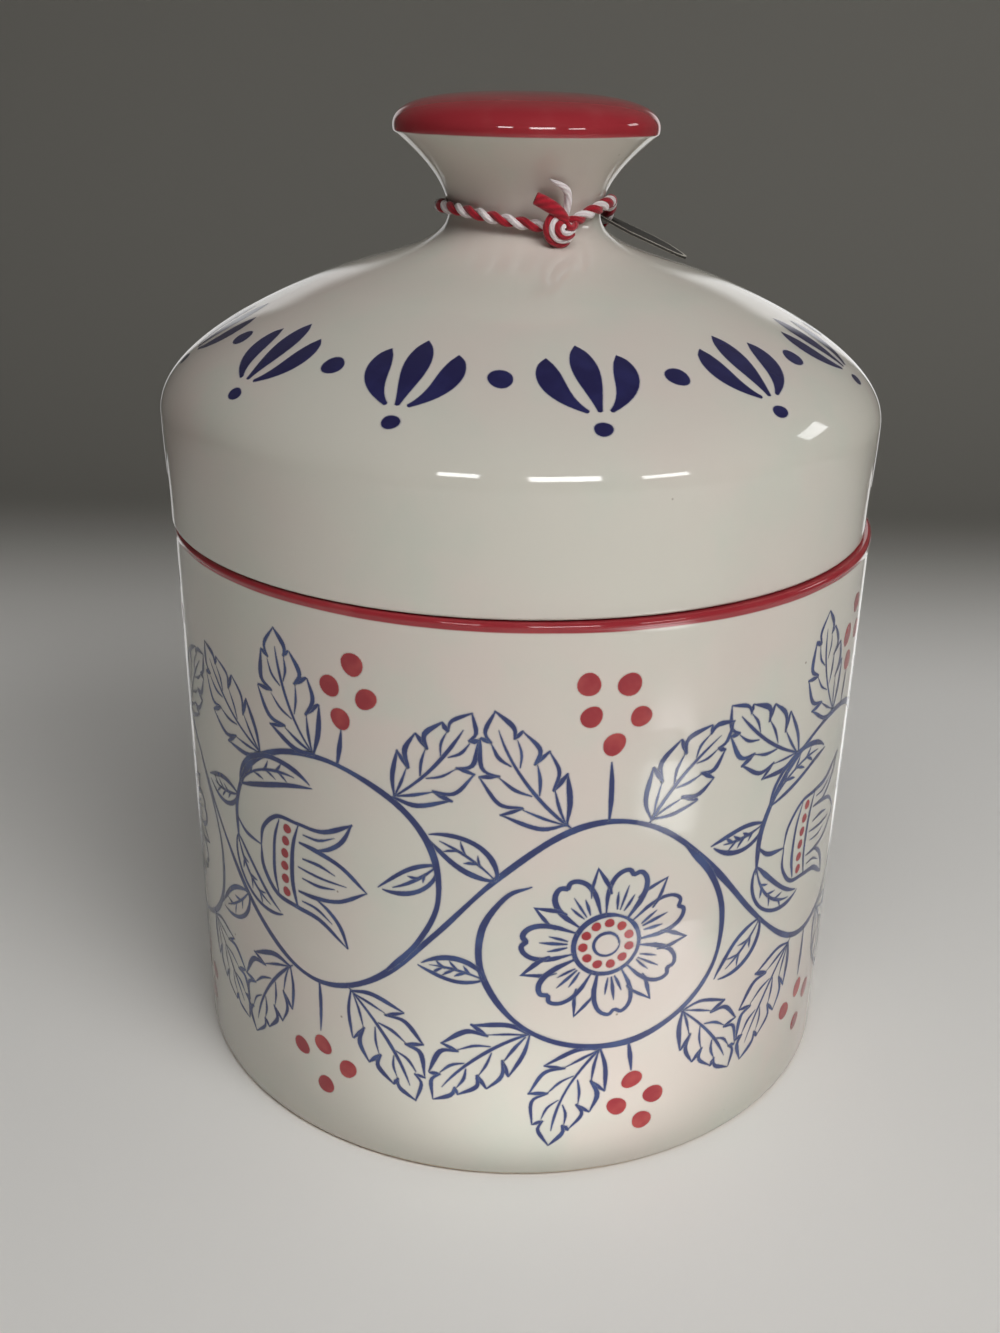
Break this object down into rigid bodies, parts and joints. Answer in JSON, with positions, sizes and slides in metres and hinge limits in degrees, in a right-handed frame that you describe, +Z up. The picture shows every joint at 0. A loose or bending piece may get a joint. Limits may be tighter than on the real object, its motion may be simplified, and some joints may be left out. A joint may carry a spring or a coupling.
{
  "type": "biscuit jar",
  "caption": "Round glazed ceramic kitchen jar with a rolled rim and a loose domed lid, a flared knob, and twine with a card tag tied round the neck of the knob.",
  "frame": {"origin": "centre of the foot, on the surface that the jar stands on", "axes": "+Z up along the jar, -Y towards the front with the knot, +X to the front's right"},
  "size_m": [0.1874, 0.1864, 0.256],
  "materials": {
    "jar_glaze": "warm white gloss glaze with a red rim and painted cobalt and red pattern",
    "lid_glaze": "warm white gloss glaze with a red knob and painted navy pattern",
    "twine": "twisted red and white cotton twine",
    "red_yarn": "soft red cotton yarn",
    "white_yarn": "soft white cotton yarn",
    "tag_card": "dark matt card with a pale cut edge"
  },
  "bodies": {
    "jar": {"jar_body": "jar_glaze"},
    "lid": {"jar_lid": "lid_glaze"},
    "twine": {"twine_loop": "twine", "twine_knot": "twine", "red_yarn_end": "red_yarn", "white_yarn_end": "white_yarn"},
    "tag": {"hang_tag": "tag_card"}
  },
  "joints": [
    {"name": "lid_lift", "type": "slide", "parent": "jar", "child": "lid", "axis": [0, 0, 1], "range_m": [0, 0.12]},
    {"name": "twine_turn", "type": "hinge", "parent": "lid", "child": "twine", "pos_m": [-0.0011, 0, 0.2273], "axis": [0, 0, 1], "continuous": true},
    {"name": "tag_swing", "type": "hinge", "parent": "twine", "child": "tag", "pos_m": [0.02012, 0.01225, 0.2253], "axis": [0.2991, -0.8045, 0.5131], "range_deg": [0, 28]}
  ]
}
